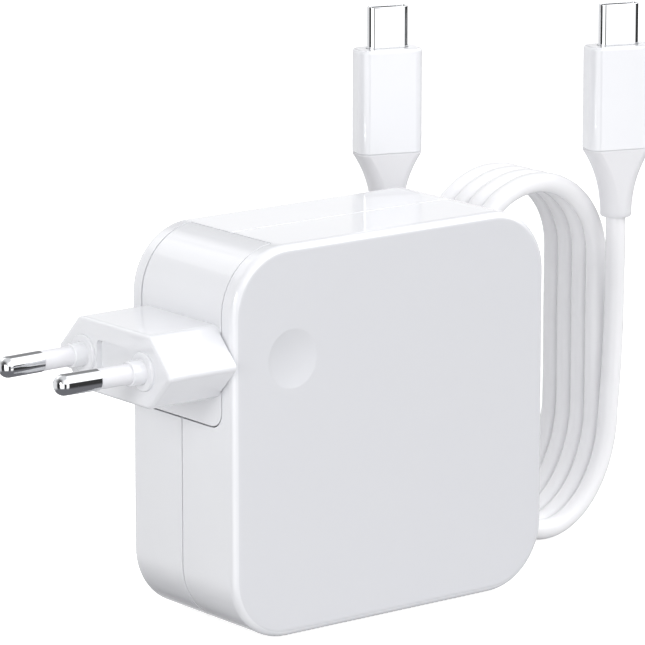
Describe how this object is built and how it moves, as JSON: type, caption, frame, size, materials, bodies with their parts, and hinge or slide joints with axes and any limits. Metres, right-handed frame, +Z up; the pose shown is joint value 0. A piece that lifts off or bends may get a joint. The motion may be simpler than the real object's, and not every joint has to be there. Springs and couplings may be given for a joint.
{
  "type": "laptop power adapter",
  "caption": "Square charging brick on edge, with a flat mains plug head that slides off one corner and a separate USB-C cable wound in an upright coil, both plugs up",
  "frame": {"origin": "under the middle of the brick and plug head taken together, on the floor the brick stands on", "axes": "+X to the right, away from the mains pins; +Y to the back, away from the large face with the dimple; +Z up"},
  "size_m": [0.1521, 0.0515, 0.1067],
  "materials": {
    "front_shell": "satin moulded polycarbonate",
    "gloss_shell": "glossy moulded polycarbonate",
    "pin_plating": "bright nickel plate",
    "pin_sleeve": "moulded insulating sleeve",
    "usb_steel": "polished stainless steel",
    "contacts": "stamped brass",
    "cable_jacket": "soft satin elastomer",
    "tie": "woven hook and loop",
    "black_plastic": "black moulded plastic",
    "board": "solder-masked laminate",
    "film": "insulating film and glass",
    "aluminium": "plain sheet and cans",
    "ferrite": "sintered ferrite",
    "tape": "polyester tape",
    "epoxy": "dipped epoxy",
    "copper": "enamelled copper wire"
  },
  "bodies": {
    "brick": {"front_shell": "front_shell", "back_shell": "gloss_shell", "inlet_block": "black_plastic", "inlet_pin_front": "pin_plating", "inlet_pin_rear": "pin_plating", "ground_stud": "pin_plating", "circuit_board": "board", "insulator_front": "film", "insulator_back": "film", "heat_spreader": "aluminium", "output_board": "board", "transformer_core": "ferrite", "transformer_winding": "tape", "bulk_capacitor_1": "black_plastic", "bulk_capacitor_2": "black_plastic", "output_capacitor_1": "aluminium", "output_capacitor_2": "aluminium", "mains_filter_capacitor": "tape", "safety_capacitor": "epoxy", "line_filter_choke": "copper", "fuse": "film", "bridge_rectifier": "black_plastic", "power_transistor": "black_plastic", "usb_receptacle_shell": "usb_steel", "usb_receptacle_tongue": "black_plastic"},
    "plug_head": {"plug_head_cover": "gloss_shell", "plug_head_back_plate": "gloss_shell", "plug_pin_front": "pin_plating", "plug_pin_rear": "pin_plating", "pin_sleeve_front": "pin_sleeve", "pin_sleeve_rear": "pin_sleeve", "socket_contact_front": "contacts", "socket_contact_rear": "contacts"},
    "cable": {"cable_coil": "cable_jacket", "cable_lead_left": "cable_jacket", "cable_lead_right": "cable_jacket", "cable_tie": "tie", "strain_relief_left": "cable_jacket", "usb_plug_grip_left": "gloss_shell", "usb_plug_shell_left": "usb_steel", "usb_plug_core_left": "contacts", "strain_relief_right": "cable_jacket", "usb_plug_grip_right": "gloss_shell", "usb_plug_shell_right": "usb_steel", "usb_plug_core_right": "contacts"}
  },
  "joints": [
    {"name": "plug_head_slide", "type": "slide", "parent": "brick", "child": "plug_head", "axis": [0, 0, 1], "range_m": [0, 0.045]},
    {"name": "cable_lift", "type": "slide", "parent": "brick", "child": "cable", "axis": [0, 0, 1], "range_m": [0, 0.09]}
  ]
}
